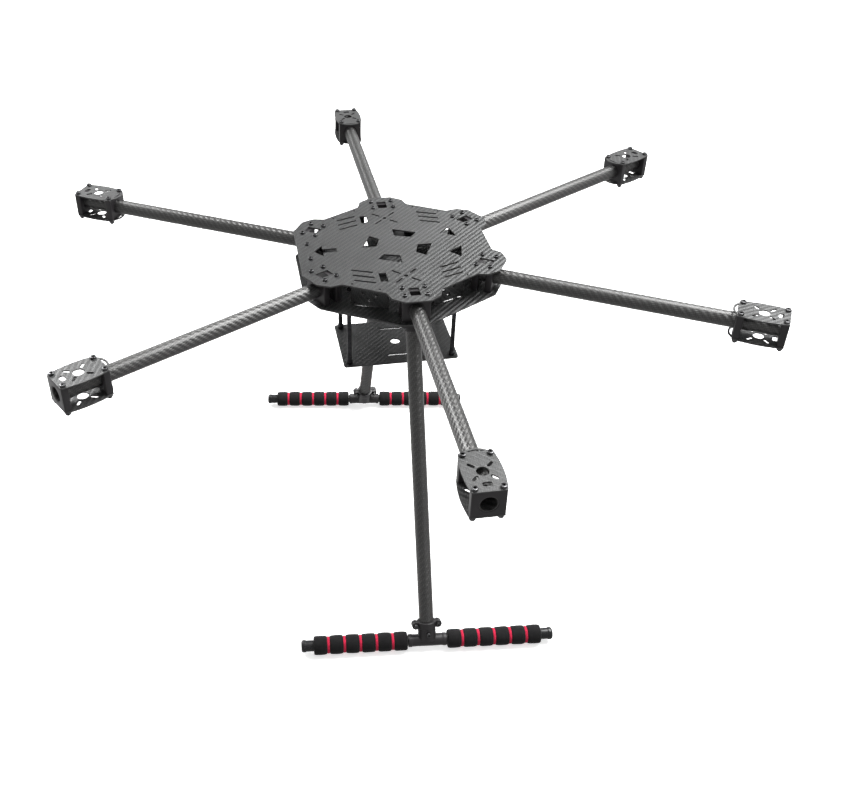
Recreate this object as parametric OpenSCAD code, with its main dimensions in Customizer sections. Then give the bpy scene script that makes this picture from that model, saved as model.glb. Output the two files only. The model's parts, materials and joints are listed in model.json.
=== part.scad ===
// Frame of a six-armed multirotor: two hub plates, six tube arms with motor mounts, a
// hanging battery tray and two splayed T legs with foam skids.
// +X points to the nose, +Y to port and +Z up. The origin is on the ground below the
// middle of the hub. All sizes are in millimetres.

/* [Overall] */
// Distance between the motor centres of two opposite arms
wheelbase = 850; // [680:5:1100]
// Height of the motor plates' top faces above the ground
stand_height = 431; // [340:1:560]

/* [Tubes] */
// Outer diameter of the arm tubes
arm_tube_d = 18; // [14:0.5:24]
// Wall of the arm tubes
arm_tube_wall = 1; // [0.5:0.1:2]
// Outer diameter of the leg tubes
leg_tube_d = 18; // [14:0.5:24]
// Wall of the leg tubes
leg_tube_wall = 1; // [0.5:0.1:2]
// Outer diameter of the skid tubes
skid_tube_d = 12; // [9:0.5:15]
// Wall of the skid tubes
skid_tube_wall = 1; // [0.5:0.1:2]
// Radial gap between a tube and the bore that grips it
tube_fit = 0.05; // [0.02:0.01:0.1]

/* [Hub] */
// Middle of the hub to each straight side of the top plate
top_apothem = 111; // [104:0.5:116]
// Middle of the hub to the top plate's nose edge
nose_reach = 121.5; // [118:0.5:124]
// Middle of the hub to the end of each lobe
lobe_reach = 133; // [129:0.5:140]
// Width of a lobe at its end
lobe_end_w = 29; // [20:1:40]
// Width of a lobe at its shoulders
lobe_w = 56; // [50:1:62]
// Middle of the hub to each straight side of the bottom plate
bottom_apothem = 120.5; // [116:0.5:126]
// Middle of the hub to the cut corners of the bottom plate
bottom_reach = 130; // [128:0.5:138]
// Thickness of the hub plates
hub_plate_t = 2; // [1.5:0.1:3]
// Middle of the hub to the inner tube clamps
inner_clamp_r = 103; // [96:0.5:106]
// Middle of the hub to the outer tube clamps
outer_clamp_r = 120; // [116:0.5:124]
// Clamp material above and below the tube in the hub
hub_clamp_cover = 6; // [4:0.5:9]
// Middle of the hub to the outer face of each side panel
side_panel_r = 94; // [86:0.5:99]
// Width of the side panels
side_panel_w = 46; // [36:1:54]
// Thickness of the side panels
side_panel_t = 2; // [1.5:0.1:3]

/* [Motor mounts] */
// Length of a motor plate on each side of the motor's centre
mount_half_l = 27.5; // [25:0.5:32]
// How far the middle of a motor plate stands out past its corners, on each side
mount_belly = 3; // [0:0.5:5]
// Thickness of the motor plates
mount_plate_t = 1.5; // [1:0.1:3]
// Clamp material above and below the tube in a motor mount
mount_clamp_cover = 5; // [3.5:0.5:8]
// Diameter of the hole for the motor's shaft
shaft_hole_d = 12; // [8:0.5:14]
// Nearest motor screw to the motor's centre
motor_slot_in = 10; // [9.5:0.1:11]
// Furthest motor screw from the motor's centre
motor_slot_out = 15; // [12:0.1:16]
// Width of the motor screw slots
motor_slot_w = 3.2; // [2.5:0.1:4]
// How far the looped end reaches past the inner clamp
loop_reach = 5.5; // [4:0.5:8]

/* [Clamps and screws] */
// Thickness of a tube clamp along its tube
clamp_t = 8; // [6:0.5:10]
// Clamp material beside the tube, on each side
clamp_side = 7.5; // [6.5:0.5:10]
// Tube to the middle of a clamp screw
screw_offset = 4; // [3.5:0.1:5]
// Diameter of the screws
screw_d = 3; // [2.5:0.1:3.5]
// Radial gap around a screw
screw_gap = 0.1; // [0.05:0.01:0.3]
// Diameter of a screw's head
head_d = 5.5; // [4.5:0.1:6]
// Height of a screw's head
head_h = 2.6; // [2:0.1:3.5]
// Height of a lock nut
nut_h = 4; // [2.5:0.1:5]

/* [Battery tray] */
// Length of the tray along the nose direction
tray_l = 146; // [120:1:180]
// Width of the tray
tray_w = 98; // [84:1:118]
// Thickness of the tray
tray_t = 2; // [1.5:0.1:3]
// Clear height between the bottom plate and the tray
tray_drop = 104.5; // [60:0.5:150]
// Edge of the tray to the middle of a post
post_inset = 7.5; // [6:0.5:12]
// Diameter of the tray posts
post_d = 5.5; // [5:0.1:8]
// Diameter of the foot collar of a tray post
post_foot_d = 8; // [6:0.5:10]
// Diameter of the hole in the middle of the tray
tray_hole_d = 12; // [8:0.5:20]
// Distance between the two strap slots of the tray
tray_slot_gap = 61; // [50:1:74]
// Length of the tray's strap slots
tray_slot_l = 30; // [20:1:50]

/* [Legs] */
// Angle of each leg from the vertical
leg_splay = 22; // [15:0.5:30]
// Middle of the hub to the leg's middle line under the bottom plate
leg_root_y = 102; // [98:0.5:108]
// Wall of the leg socket and of the T piece around the leg tube
sleeve_wall = 2.25; // [2:0.05:3.5]
// Length of the leg socket's sleeve
socket_l = 20; // [16:0.5:40]
// Thickness of the leg socket's flange
flange_t = 4; // [3:0.5:6]
// Height of the T piece above the skid's middle line
tee_h = 27; // [25:0.5:36]
// Turn of the port skid about the vertical as it stands
port_skid_yaw = -4.5; // [-12:0.5:12]
// Turn of the starboard skid about the vertical as it stands
starboard_skid_yaw = -8.5; // [-12:0.5:12]

/* [Skids] */
// Length of a skid over its end caps
skid_l = 317; // [260:1:380]
// Diameter of the foam sleeves
foam_d = 24; // [19:0.5:30]
// Foam blocks in each sleeve
foam_blocks = 6; // [3:1:8]
// Width of the red rings between the blocks
ring_w = 3.4; // [2:0.1:5]
// Depth of a ring's groove in the foam
groove_depth = 3; // [1.5:0.5:4]
// How far a ring's surface lies below the foam's
ring_depth = 1.4; // [0.5:0.1:3]
// Wall of the T piece around the skid tube
cross_wall = 2.2; // [1.5:0.1:3]
// Length of the T piece along the skid
cross_l = 48; // [36:1:56]
// Length of an end cap
cap_l = 15.5; // [10:0.5:24]
// Wall of an end cap
cap_wall = 1; // [0.8:0.1:2]

/* [Hidden] */
$fn = 64;

ARM_ANGLES = [30, 90, 150, 210, 270, 330];
PANEL_ANGLES = [60, 120, 240, 300];
PANEL_NAMES = ["nose_port", "tail_port", "tail_starboard", "nose_starboard"];
SIDES = ["port", "starboard"];
PER_ARM = ["arm_tube", "mount_top_plate", "mount_bottom_plate", "mount_clamps", "mount_screws"];
PER_SIDE = ["leg_socket", "leg_tube", "tee", "tee_screws", "skid_tube", "foam_sleeves",
            "foam_rings", "end_caps"];

// Colours
carbon = "#2b2c2e";
plastic = "#17181a";
black_steel = "#1d1d1f";
foam_black = "#141415";
ring_red = "#b5182c";

eps = 0.01;
// Gap between two bodies that touch in the real frame
solid_gap = 0.1;

// Heights
mount_gap = arm_tube_d + 2 * mount_clamp_cover;
hub_gap = arm_tube_d + 2 * hub_clamp_cover;
axis_z = stand_height - mount_plate_t - mount_gap / 2;
hub_floor_z = axis_z - hub_gap / 2;
hub_under_z = hub_floor_z - hub_plate_t;
hub_roof_z = axis_z + hub_gap / 2;
tray_top_z = hub_under_z - tray_drop;
skid_z = foam_d / 2;

// Clamps and screws
// The arm tubes and the leg tubes both pass between the clamp screws
widest_tube_d = max(arm_tube_d, leg_tube_d);
clamp_w = widest_tube_d + 2 * clamp_side;
screw_y = widest_tube_d / 2 + screw_offset;
screw_hole_d = screw_d + 2 * screw_gap;
nut_af = head_d;
mount_clamp_r = mount_half_l - clamp_t / 2;
// The looped end is an arc of radius loop_r about the point loop_x on the arm's line
loop_band = 2.4;
mount_window_in = 10;
mount_window_l = 5.6;
mount_window_w = 9;
mount_window_r = 1.8;
loop_half_w = clamp_w / 2 - 3.5;
loop_r = (loop_half_w * loop_half_w + loop_reach * loop_reach) / (2 * loop_reach);
loop_x = loop_r - mount_half_l - loop_reach;
arm_inner_r = inner_clamp_r - clamp_t;
arm_outer_r = wheelbase / 2 + mount_half_l - 0.5;

// Legs, measured along the leg from the skid's middle line
leg_l = (hub_under_z - skid_z) / cos(leg_splay);
foot_y = leg_root_y + leg_l * sin(leg_splay);
sleeve_d = leg_tube_d + 2 * (tube_fit + sleeve_wall);
cross_d = skid_tube_d + 2 * (tube_fit + cross_wall);
tee_seat = cross_d / 2 + 2;
leg_tube_end = leg_l - flange_t - leg_tube_d / 2 * tan(leg_splay);
flange_mid_y = (inner_clamp_r + outer_clamp_r) / 2;
flange_l = outer_clamp_r - inner_clamp_r + 13;
flange_w = 2 * screw_y + 10;
ear_d = 9.5;
ear_x = sleeve_d / 2 + 2.8;
ear_z = tee_h - ear_d / 2;
ear_t = 9;
slit_w = 1;
grub_seat = sleeve_d / 2 + 0.4;
grub_z = tee_seat + screw_hole_d / 2 + 0.6;

// Skids
cap_d = skid_tube_d + 2 * (tube_fit + cap_wall);
cap_rim_d = cap_d + 1.4;
cap_rim_l = 3;
cap_end_t = 3;
foam_gap = 1.3;
foam_start = cross_l / 2 + foam_gap;
foam_end = skid_l / 2 - cap_l - solid_gap;
foam_l = foam_end - foam_start;
foam_block_l = (foam_l - (foam_blocks - 1) * ring_w) / foam_blocks;

// Tray, posts and standoffs
post_x = tray_l / 2 - post_inset;
post_y = tray_w / 2 - post_inset;
post_foot_h = 5;
tapped_depth = 8;
standoff_x = nose_reach - 13.5;
standoff_y = 18;
standoff_d = 5.5;
strap_slot_w = 3;

// Side panels
tab_w = 8;
tab_y = side_panel_w / 2 - 9;
panel_hole_d = 4.5;
panel_hole_r = 8;

// Openings of the hub plates
WEDGE = [[43, -1], [30, -29], [19, -20], [25, -1]];
STRAP_SLOT = [[63, 52], [41, 60.5]];
ARROW = [[102, 0], [91, 14], [91, 4.5], [74, 4.5], [74, -4.5], [91, -4.5], [91, -14]];
TAIL_TRIANGLE = [[-58, 24], [-77, 12], [-71, 39]];
strap_slot_step = 12;
side_pattern_y = 74;
pattern_x = 3;
pattern_hole_d = 5;
pattern_slot_w = 2.6;
window_x = 29.5;

// ---- Helpers ----

function unit(v) = v / norm(v);
function polar(r, a) = r * [cos(a), sin(a)];

// Corner p of an outline with neighbours a and b, rounded with radius r
function corner(a, p, b, r, steps = 5) =
    let (u = unit(a - p),
         v = unit(b - p),
         half = acos(u * v) / 2,
         centre = p + unit(u + v) * r / sin(half),
         from = p + u * r / tan(half) - centre,
         to = p + v * r / tan(half) - centre,
         start = atan2(from.y, from.x),
         turn = atan2(from.x * to.y - from.y * to.x, from * to))
    [for (i = [0:steps]) centre + polar(r, start + turn * i / steps)];

// Outline with every corner rounded with radius r
function rounded(pts, r) =
    let (n = len(pts))
    [for (i = [0:n - 1]) each corner(pts[(i + n - 1) % n], pts[i], pts[(i + 1) % n], r)];

function turned(pts, a) =
    [for (p = pts) [p.x * cos(a) - p.y * sin(a), p.x * sin(a) + p.y * cos(a)]];

module rounded_rect(x, y, r) {
    polygon(rounded([[-x, -y] / 2, [x, -y] / 2, [x, y] / 2, [-x, y] / 2], r));
}

// Slot with round ends about the points p and q
module slot(p, q, w) {
    d = q - p;
    l = norm(d);
    translate(p)
        rotate(atan2(d.y, d.x)) {
            for (x = [0, l])
                translate([x, 0])
                    circle(d = w, $fn = 24);
            translate([0, -w / 2])
                square([l, w]);
        }
}

module at_arm(i) {
    rotate(ARM_ANGLES[i - 1])
        children();
}

module at_motor(i) {
    at_arm(i)
        translate([wheelbase / 2, 0, 0])
            children();
}

module down(h) {
    translate([0, 0, -h])
        children();
}

// Cap screw, seated at z = 0 and pointing down through the grip into a lock nut
module nut_screw(grip) {
    socket_screw(grip + nut_h + 1.2);
    down(grip + nut_h)
        cylinder(d = nut_af / cos(30), h = nut_h, $fn = 6);
}

// Cap screw, seated at z = 0 and pointing down
module socket_screw(l) {
    difference() {
        cylinder(d = head_d, h = head_h, $fn = 32);
        translate([0, 0, head_h - 1.4])
            cylinder(d = 2.9, h = 2, $fn = 6);
    }
    down(l)
        cylinder(d = screw_d, h = l + eps, $fn = 24);
}

// ---- Tube clamps ----

// Block clamp around a tube along X, its screws upright
module tube_clamp(gap) {
    difference() {
        translate([0, 0, -gap / 2])
            linear_extrude(gap)
                rounded_rect(clamp_t, clamp_w, 1.2);
        rotate([0, 90, 0])
            cylinder(d = arm_tube_d + 2 * tube_fit, h = clamp_t + 2, center = true);
        for (y = [-screw_y, screw_y])
            translate([0, y, -gap])
                cylinder(d = screw_hole_d, h = 2 * gap, $fn = 24);
    }
}

// ---- Hub plates ----

// One lobe of the top plate, as the corners between two straight sides
function lobe(a) =
    let (half = lobe_w / 2,
         neck = half + 4,
         neck_r = top_apothem / cos(30) - neck * tan(30),
         shoulder_r = lobe_reach - 10)
    turned([[neck_r, -neck], [shoulder_r, -half], [lobe_reach, -lobe_end_w / 2],
            [lobe_reach, lobe_end_w / 2], [shoulder_r, half], [neck_r, neck]], a);

module top_outline() {
    corners = [for (a = ARM_ANGLES) each lobe(a)];
    polygon(rounded(corners, 4.5));
    // The nose edge stands further out than the other sides
    nose_y = nose_reach * tan(30) - 8;
    polygon(rounded([[0, -nose_y], [nose_reach, -nose_y], [nose_reach, nose_y], [0, nose_y]], 8));
}

module bottom_outline() {
    cut = (bottom_apothem / cos(30) - bottom_reach) * tan(60);
    corners = [for (a = ARM_ANGLES) each turned([[bottom_reach, -cut], [bottom_reach, cut]], a)];
    polygon(rounded(corners, 6));
}

// Four wedge-shaped openings around the middle
module wedges() {
    for (a = [0:90:270])
        rotate(a)
            polygon(rounded(WEDGE, 1));
}

// Three strap slots in each quarter of a hub plate
module strap_slots() {
    for (mx = [0, 1], my = [0, 1])
        mirror([mx, 0])
            mirror([0, my])
                for (k = [0:2])
                    translate([0, k * strap_slot_step])
                        slot(STRAP_SLOT[0], STRAP_SLOT[1], strap_slot_w);
}

// Holes for the clamp screws of all six arms
module clamp_screw_holes() {
    for (arm = [1:6], r = [inner_clamp_r, outer_clamp_r], y = [-screw_y, screw_y])
        rotate(ARM_ANGLES[arm - 1])
            translate([r, y])
                circle(d = screw_hole_d, $fn = 24);
}

module standoff_holes() {
    for (y = [-standoff_y, standoff_y])
        translate([standoff_x, y])
            circle(d = screw_hole_d, $fn = 24);
}

// Crossed slots around a small hole, on each side of the hub
module crossed_slots() {
    for (side = [-1, 1])
        translate([pattern_x, side * side_pattern_y]) {
            circle(d = pattern_hole_d, $fn = 24);
            for (a = [45:90:315])
                rotate(a)
                    slot([9, 0], [19, 0], pattern_slot_w);
        }
}

module tail_triangles() {
    for (m = [0, 1])
        mirror([0, m])
            polygon(rounded(TAIL_TRIANGLE, 0.8));
}

module lobe_windows() {
    for (arm = [1:6])
        rotate(ARM_ANGLES[arm - 1])
            translate([(inner_clamp_r + outer_clamp_r) / 2, 0])
                rounded_rect(18, 12, 1);
}

// Small holes along the straight sides
module edge_holes() {
    for (a = PANEL_ANGLES, y = [-17, 17])
        rotate(a)
            translate([top_apothem - 5, y])
                circle(d = 2.6, $fn = 24);
}

module wire_windows() {
    for (side = [-1, 1])
        translate([window_x, side * side_pattern_y])
            rounded_rect(9, 20, 0.8);
}

module hub_top_plate() {
    color(carbon)
        translate([0, 0, hub_roof_z])
            linear_extrude(hub_plate_t)
                difference() {
                    top_outline();
                    wedges();
                    strap_slots();
                    clamp_screw_holes();
                    standoff_holes();
                    polygon(ARROW);
                    crossed_slots();
                    tail_triangles();
                    lobe_windows();
                    edge_holes();
                    wire_windows();
                }
}

module hub_bottom_plate() {
    color(carbon)
        translate([0, 0, hub_under_z])
            linear_extrude(hub_plate_t)
                difference() {
                    bottom_outline();
                    strap_slots();
                    clamp_screw_holes();
                    standoff_holes();
                    wire_windows();
                    for (x = [-post_x, post_x], y = [-post_y, post_y])
                        translate([x, y])
                            circle(d = screw_hole_d, $fn = 24);
                    for (a = PANEL_ANGLES, y = [-tab_y, tab_y])
                        rotate(a)
                            translate([side_panel_r - side_panel_t / 2, y])
                                square([side_panel_t + 2 * solid_gap, tab_w + 2 * solid_gap],
                                       center = true);
                }
}

// ---- Pieces between the hub plates ----

module hub_clamps(r) {
    color(plastic)
        for (arm = [1:6])
            at_arm(arm)
                translate([r, 0, axis_z])
                    tube_clamp(hub_gap);
}

module hub_inner_clamps() {
    hub_clamps(inner_clamp_r);
}

module hub_outer_clamps() {
    hub_clamps(outer_clamp_r);
}

// Clamp screws of the hub; those over a leg reach through its socket's flange
module hub_screws() {
    plain_grip = hub_gap + 2 * hub_plate_t;
    color(black_steel) {
        for (arm = [1:6], r = [inner_clamp_r, outer_clamp_r], y = [-screw_y, screw_y])
            at_arm(arm)
                translate([r, y, hub_roof_z + hub_plate_t])
                    nut_screw(plain_grip + ((arm == 2 || arm == 5) ? flange_t : 0));
        for (y = [-standoff_y, standoff_y])
            translate([standoff_x, y, 0]) {
                translate([0, 0, hub_roof_z + hub_plate_t])
                    socket_screw(tapped_depth);
                translate([0, 0, hub_under_z])
                    mirror([0, 0, 1])
                        socket_screw(tapped_depth);
            }
    }
}

// Round spacer with a tapped hole in each end
module tapped_post(h, d) {
    difference() {
        cylinder(d = d, h = h);
        for (z = [-eps, h - tapped_depth])
            translate([0, 0, z])
                cylinder(d = screw_hole_d, h = tapped_depth + eps, $fn = 24);
    }
}

module nose_standoffs() {
    color(black_steel)
        for (y = [-standoff_y, standoff_y])
            translate([standoff_x, y, hub_floor_z])
                tapped_post(hub_gap, standoff_d);
}

// Upright panel between two arms, with two tabs in the bottom plate
module side_panel(angle) {
    color(carbon)
        rotate(angle)
            translate([side_panel_r, 0, axis_z])
                rotate([0, -90, 0])
                    linear_extrude(side_panel_t)
                        difference() {
                            union() {
                                square([hub_gap, side_panel_w], center = true);
                                for (y = [-tab_y, tab_y])
                                    translate([-hub_gap / 2 - hub_plate_t, y - tab_w / 2])
                                        square([hub_plate_t + 1, tab_w]);
                            }
                            for (a = [0:90:270])
                                translate(polar(panel_hole_r, a))
                                    circle(d = panel_hole_d, $fn = 32);
                        }
}

// ---- Arms and motor mounts ----

module arm_tube(i) {
    color(carbon)
        at_arm(i)
            translate([arm_inner_r, 0, axis_z])
                rotate([0, 90, 0])
                    difference() {
                        cylinder(d = arm_tube_d, h = arm_outer_r - arm_inner_r);
                        down(1)
                            cylinder(d = arm_tube_d - 2 * arm_tube_wall,
                                     h = arm_outer_r - arm_inner_r + 2);
                    }
}

// Barrel-sided plate with a looped end towards the hub
module mount_outline() {
    end_half_w = clamp_w / 2;
    steps = 12;
    side = [for (i = [1:steps - 1])
        let (t = 2 * i / steps - 1)
        [t * mount_half_l, end_half_w + mount_belly * (1 - t * t)]];
    last = steps - 2;
    inner = [-mount_half_l, end_half_w];
    outer = [mount_half_l, end_half_w];
    half = concat(corner([-mount_half_l, 0], inner, side[0], 2), side,
                  corner(side[last], outer, [mount_half_l, 0], 2));
    other_half = [for (i = [len(half) - 1:-1:0]) [half[i].x, -half[i].y]];
    loop_half_angle = asin(loop_half_w / loop_r);
    loop = [for (k = [0:12]) [loop_x, 0] + polar(loop_r, 180 + loop_half_angle * (1 - k / 6))];
    polygon(concat(half, other_half, loop));
}

// Crescent between the looped band and the clamp
module loop_opening() {
    intersection() {
        translate([loop_x, 0])
            circle(r = loop_r - loop_band);
        translate([-2 * mount_half_l - 0.6, -clamp_w])
            square([mount_half_l, 2 * clamp_w]);
    }
}

module mount_plate(i, z) {
    color(carbon)
        at_motor(i)
            translate([0, 0, z])
                linear_extrude(mount_plate_t)
                    difference() {
                        mount_outline();
                        circle(d = shaft_hole_d);
                        for (a = [45:90:315])
                            rotate(a)
                                slot([motor_slot_in, 0], [motor_slot_out, 0], motor_slot_w);
                        translate([mount_half_l - mount_window_in, 0])
                            rounded_rect(mount_window_l, mount_window_w, mount_window_r);
                        loop_opening();
                        for (x = [-mount_clamp_r, mount_clamp_r], y = [-screw_y, screw_y])
                            translate([x, y])
                                circle(d = screw_hole_d, $fn = 24);
                    }
}

module mount_top_plate(i) {
    mount_plate(i, axis_z + mount_gap / 2);
}

module mount_bottom_plate(i) {
    mount_plate(i, axis_z - mount_gap / 2 - mount_plate_t);
}

module mount_clamps(i) {
    color(plastic)
        at_motor(i)
            for (x = [-mount_clamp_r, mount_clamp_r])
                translate([x, 0, axis_z])
                    tube_clamp(mount_gap);
}

module mount_screws(i) {
    color(black_steel)
        at_motor(i)
            for (x = [-mount_clamp_r, mount_clamp_r], y = [-screw_y, screw_y])
                translate([x, y, stand_height])
                    nut_screw(mount_gap + 2 * mount_plate_t);
}

// ---- Battery tray ----

module tray_plate() {
    tray_slot_end = (tray_slot_l - strap_slot_w) / 2;
    color(carbon)
        translate([0, 0, tray_top_z - tray_t])
            linear_extrude(tray_t)
                difference() {
                    rounded_rect(tray_l, tray_w, 4);
                    circle(d = tray_hole_d);
                    for (y = [-tray_slot_gap / 2, tray_slot_gap / 2])
                        translate([0, y])
                            slot([-tray_slot_end, 0], [tray_slot_end, 0], strap_slot_w);
                    for (x = [-post_x, post_x], y = [-post_y, post_y])
                        translate([x, y])
                            circle(d = screw_hole_d, $fn = 24);
                }
}

module tray_posts() {
    color(black_steel)
        for (x = [-post_x, post_x], y = [-post_y, post_y])
            translate([x, y, tray_top_z]) {
                tapped_post(tray_drop, post_d);
                difference() {
                    cylinder(d = post_foot_d, h = post_foot_h);
                    down(1)
                        cylinder(d = post_d - 1, h = post_foot_h + 2);
                }
            }
}

module tray_screws() {
    color(black_steel)
        for (x = [-post_x, post_x], y = [-post_y, post_y])
            translate([x, y, 0]) {
                translate([0, 0, hub_floor_z])
                    socket_screw(tapped_depth);
                translate([0, 0, tray_top_z - tray_t])
                    mirror([0, 0, 1])
                        socket_screw(tapped_depth);
            }
}

// ---- Legs ----

function side_sign(s) = s == "port" ? 1 : -1;
function side_yaw(s) = s == "port" ? port_skid_yaw : starboard_skid_yaw;

// Origin on the skid's middle line below the leg, Z along the leg
module at_leg(s) {
    translate([0, side_sign(s) * foot_y, skid_z])
        rotate([side_sign(s) * leg_splay, 0, 0])
            children();
}

// Origin on the skid's middle line below the leg, X along the skid
module at_skid(s) {
    translate([0, side_sign(s) * foot_y, skid_z])
        rotate(side_yaw(s))
            children();
}

module leg_tube(s) {
    color(carbon)
        at_leg(s)
            difference() {
                translate([0, 0, tee_seat])
                    cylinder(d = leg_tube_d, h = leg_tube_end - tee_seat);
                cylinder(d = leg_tube_d - 2 * leg_tube_wall, h = leg_l);
            }
}

// Flange under the bottom plate with a splayed sleeve for the leg tube
module leg_socket(s) {
    sgn = side_sign(s);
    color(plastic)
        difference() {
            union() {
                translate([0, sgn * flange_mid_y, hub_under_z - flange_t])
                    linear_extrude(flange_t)
                        rounded_rect(flange_w, flange_l, 3);
                at_leg(s)
                    translate([0, 0, leg_l - socket_l])
                        cylinder(d = sleeve_d, h = socket_l + sleeve_d);
            }
            // Everything above the bottom plate's underside
            translate([-sleeve_d, sgn * leg_root_y - 2 * sleeve_d, hub_under_z])
                cube([2 * sleeve_d, 4 * sleeve_d, 4 * sleeve_d]);
            at_leg(s)
                cylinder(d = leg_tube_d + 2 * tube_fit, h = leg_tube_end + 0.3);
            for (x = [-screw_y, screw_y], r = [inner_clamp_r, outer_clamp_r])
                translate([x, sgn * r, hub_under_z - flange_t]) {
                    cylinder(d = screw_hole_d, h = 2 * flange_t, $fn = 24);
                    // Room for the nut beside the sleeve
                    down(12)
                        cylinder(d = nut_af / cos(30) + 0.4, h = 12);
                }
        }
}

// T piece: a sleeve on the leg tube with a split collar, and a sleeve along the skid
module tee(s) {
    color(plastic)
        difference() {
            union() {
                at_leg(s) {
                    cylinder(d = sleeve_d, h = tee_h);
                    translate([-ear_x, -ear_t / 2, ear_z - 3])
                        cube([2 * ear_x, ear_t, 6]);
                    for (x = [-ear_x, ear_x])
                        translate([x, 0, ear_z])
                            rotate([90, 0, 0])
                                cylinder(d = ear_d, h = ear_t, center = true);
                }
                at_skid(s)
                    rotate([0, 90, 0])
                        cylinder(d = cross_d, h = cross_l, center = true);
            }
            at_leg(s) {
                translate([0, 0, tee_seat - 0.3])
                    cylinder(d = leg_tube_d + 2 * tube_fit, h = tee_h);
                translate([-sleeve_d, -slit_w / 2, tee_h - ear_d - 1])
                    cube([2 * sleeve_d, slit_w, 2 * ear_d]);
                for (x = [-ear_x, ear_x])
                    translate([x, 0, ear_z])
                        rotate([90, 0, 0])
                            cylinder(d = screw_hole_d, h = 2 * ear_t, center = true, $fn = 24);
                translate([0, 0, grub_z])
                    rotate([-90 * side_sign(s), 0, 0])
                        cylinder(d = screw_hole_d, h = sleeve_d, $fn = 24);
            }
            at_skid(s)
                rotate([0, 90, 0])
                    cylinder(d = skid_tube_d + 2 * tube_fit, h = cross_l + 2, center = true);
        }
}

module tee_screws(s) {
    sgn = side_sign(s);
    color(black_steel) {
        at_leg(s)
            for (x = [-ear_x, ear_x])
                translate([x, sgn * ear_t / 2, ear_z])
                    rotate([-90 * sgn, 0, 0])
                        nut_screw(ear_t);
        // Screw that stops the leg tube from turning
        at_leg(s)
            translate([0, sgn * grub_seat, grub_z])
                rotate([-90 * sgn, 0, 0])
                    socket_screw(grub_seat - leg_tube_d / 2 - solid_gap);
    }
}

// ---- Skids ----

module skid_tube(s) {
    tube_l = skid_l - 2 * cap_end_t;
    color(carbon)
        at_skid(s)
            rotate([0, 90, 0])
                difference() {
                    cylinder(d = skid_tube_d, h = tube_l, center = true);
                    cylinder(d = skid_tube_d - 2 * skid_tube_wall, h = tube_l + 2, center = true);
                }
}

// Tube of revolution about the skid's middle line, from x0 to x1
module skid_ring(x0, x1, d_in, d_out) {
    translate([x0, 0, 0])
        rotate([0, 90, 0])
            difference() {
                cylinder(d = d_out, h = x1 - x0);
                down(1)
                    cylinder(d = d_in, h = x1 - x0 + 2);
            }
}

function groove_x(k) = foam_start + k * foam_block_l + (k - 1) * ring_w;

module foam_sleeves(s) {
    color(foam_black)
        at_skid(s)
            for (turn = [0, 180])
                rotate(turn)
                    difference() {
                        skid_ring(foam_start, foam_end, skid_tube_d + 2 * solid_gap, foam_d);
                        for (k = [1:foam_blocks - 1])
                            skid_ring(groove_x(k), groove_x(k) + ring_w,
                                      foam_d - 2 * groove_depth, foam_d + 2);
                    }
}

module foam_rings(s) {
    color(ring_red)
        at_skid(s)
            for (turn = [0, 180])
                rotate(turn)
                    for (k = [1:foam_blocks - 1])
                        skid_ring(groove_x(k) + solid_gap, groove_x(k) + ring_w - solid_gap,
                                  foam_d - 2 * groove_depth + 2 * solid_gap,
                                  foam_d - 2 * ring_depth);
}

module end_caps(s) {
    color(plastic)
        at_skid(s)
            for (turn = [0, 180])
                rotate(turn)
                    difference() {
                        union() {
                            translate([skid_l / 2 - cap_l, 0, 0])
                                rotate([0, 90, 0])
                                    cylinder(d = cap_d, h = cap_l);
                            translate([skid_l / 2 - cap_rim_l, 0, 0])
                                rotate([0, 90, 0])
                                    cylinder(d = cap_rim_d, h = cap_rim_l);
                        }
                        rotate([0, 90, 0])
                            cylinder(d = skid_tube_d + 2 * tube_fit,
                                     h = skid_l / 2 - cap_end_t + solid_gap);
                    }
}

// ---- Assembly ----

hub_top_plate();
hub_bottom_plate();
hub_inner_clamps();
hub_outer_clamps();
hub_screws();
nose_standoffs();
tray_plate();
tray_posts();
tray_screws();
for (k = [0:3])
    side_panel(PANEL_ANGLES[k]);
for (i = [1:6]) {
    arm_tube(i);
    mount_top_plate(i);
    mount_bottom_plate(i);
    mount_clamps(i);
    mount_screws(i);
}
for (s = SIDES) {
    leg_socket(s);
    leg_tube(s);
    tee(s);
    tee_screws(s);
    skid_tube(s);
    foam_sleeves(s);
    foam_rings(s);
    end_caps(s);
}
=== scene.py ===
"""Finish of a six-armed multirotor frame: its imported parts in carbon, plastic, steel and foam."""

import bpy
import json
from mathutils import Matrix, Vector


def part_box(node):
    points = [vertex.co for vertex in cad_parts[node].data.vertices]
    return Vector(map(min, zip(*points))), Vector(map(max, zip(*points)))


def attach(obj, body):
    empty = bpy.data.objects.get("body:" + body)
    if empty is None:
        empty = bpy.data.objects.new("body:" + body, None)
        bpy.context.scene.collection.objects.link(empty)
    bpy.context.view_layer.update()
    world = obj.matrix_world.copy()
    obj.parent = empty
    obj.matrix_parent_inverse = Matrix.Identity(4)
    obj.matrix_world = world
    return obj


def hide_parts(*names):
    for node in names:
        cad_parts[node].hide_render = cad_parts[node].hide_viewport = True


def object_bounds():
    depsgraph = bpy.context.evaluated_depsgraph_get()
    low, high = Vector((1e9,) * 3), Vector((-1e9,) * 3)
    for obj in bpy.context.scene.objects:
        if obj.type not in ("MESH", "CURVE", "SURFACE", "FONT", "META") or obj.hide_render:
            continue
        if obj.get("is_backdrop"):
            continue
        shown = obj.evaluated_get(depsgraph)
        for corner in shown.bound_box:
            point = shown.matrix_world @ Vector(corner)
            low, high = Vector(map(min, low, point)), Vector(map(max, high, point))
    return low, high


bl_info = {
    "name": "Six-Arm Multirotor Frame",
    "version": (1, 0, 0),
    "blender": (4, 5, 0),
    "location": "View3D > Sidebar > Multirotor",
    "description": "Finishes the plates, tubes, clamps, screws and skids of a multirotor frame",
    "category": "Add Mesh",
}

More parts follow.
